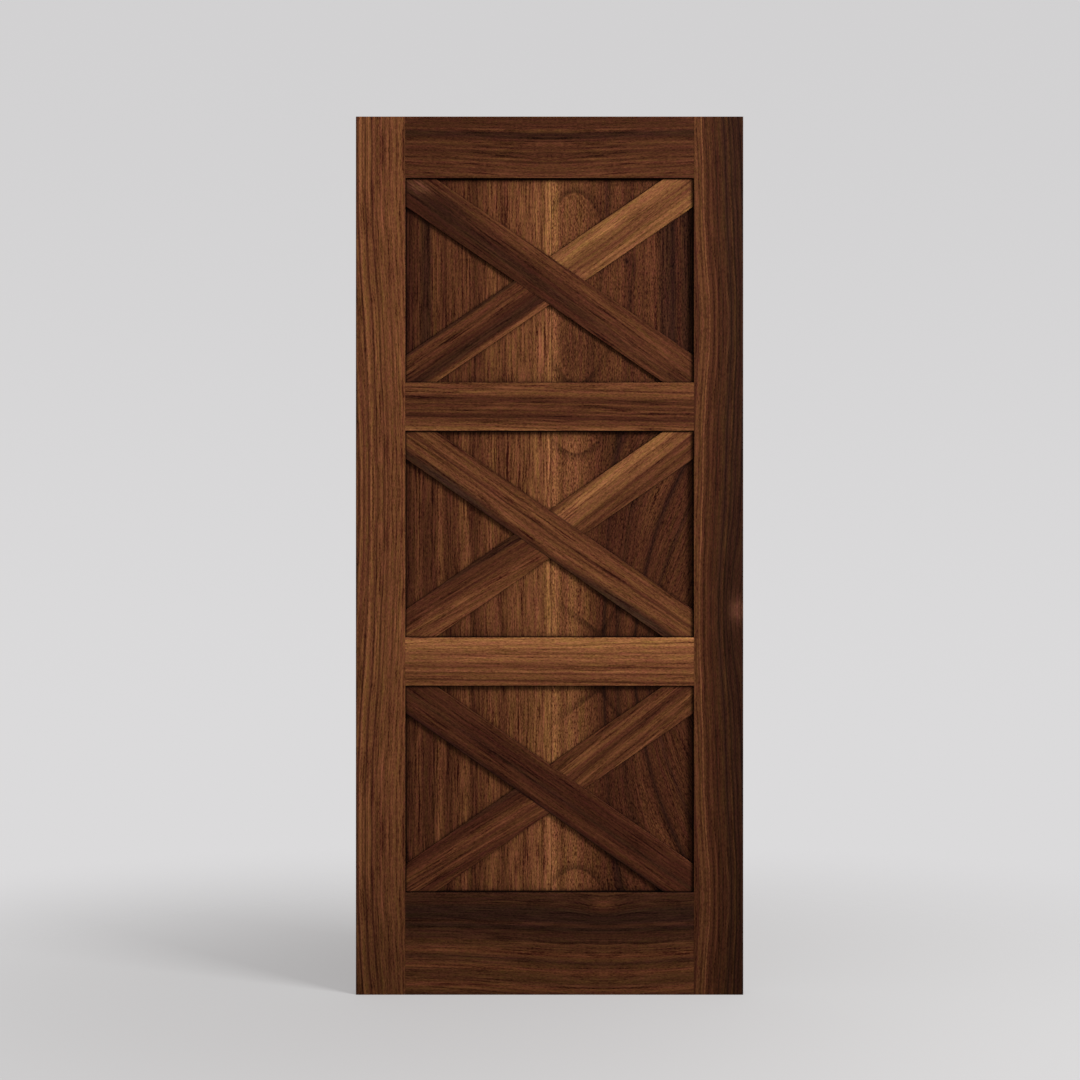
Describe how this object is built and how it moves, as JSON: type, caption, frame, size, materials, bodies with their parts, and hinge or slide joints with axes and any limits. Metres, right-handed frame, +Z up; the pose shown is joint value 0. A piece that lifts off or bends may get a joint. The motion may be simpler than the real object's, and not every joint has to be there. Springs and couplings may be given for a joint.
{
  "type": "pocket door",
  "caption": "Walnut stile-and-rail sliding door leaf with recessed flat panels, each crossed by a flush X brace; hangs by its top edge and is guided by a groove in its bottom edge.",
  "frame": {"origin": "middle of the leaf's bottom edge, halfway through its thickness", "axes": "+Z up the leaf, +X to the right seen from the front, +Y through the thickness from the braced front to the plain back"},
  "size_m": [0.94, 0.044, 2.13],
  "materials": {
    "walnut_medium": "satin",
    "walnut_dark": "satin",
    "walnut_light": "satin",
    "walnut_panel": "satin",
    "dowel_beech": "matte",
    "cushion_rubber": "matte"
  },
  "bodies": {
    "root": {"left_stile": "walnut_medium", "right_stile": "walnut_dark", "top_rail": "walnut_dark", "upper_mid_rail": "walnut_medium", "lower_mid_rail": "walnut_light", "bottom_rail": "walnut_dark", "upper_panel": "walnut_panel", "middle_panel": "walnut_panel", "lower_panel": "walnut_panel", "upper_long_brace": "walnut_dark", "middle_long_brace": "walnut_medium", "lower_long_brace": "walnut_dark", "upper_half_brace_right": "walnut_light", "middle_half_brace_right": "walnut_light", "lower_half_brace_right": "walnut_medium", "upper_half_brace_left": "walnut_medium", "middle_half_brace_left": "walnut_medium", "lower_half_brace_left": "walnut_medium", "top_rail_dowels": "dowel_beech", "upper_mid_rail_dowels": "dowel_beech", "lower_mid_rail_dowels": "dowel_beech", "bottom_rail_dowels": "dowel_beech", "upper_panel_cushions": "cushion_rubber", "middle_panel_cushions": "cushion_rubber", "lower_panel_cushions": "cushion_rubber"}
  },
  "joints": []
}
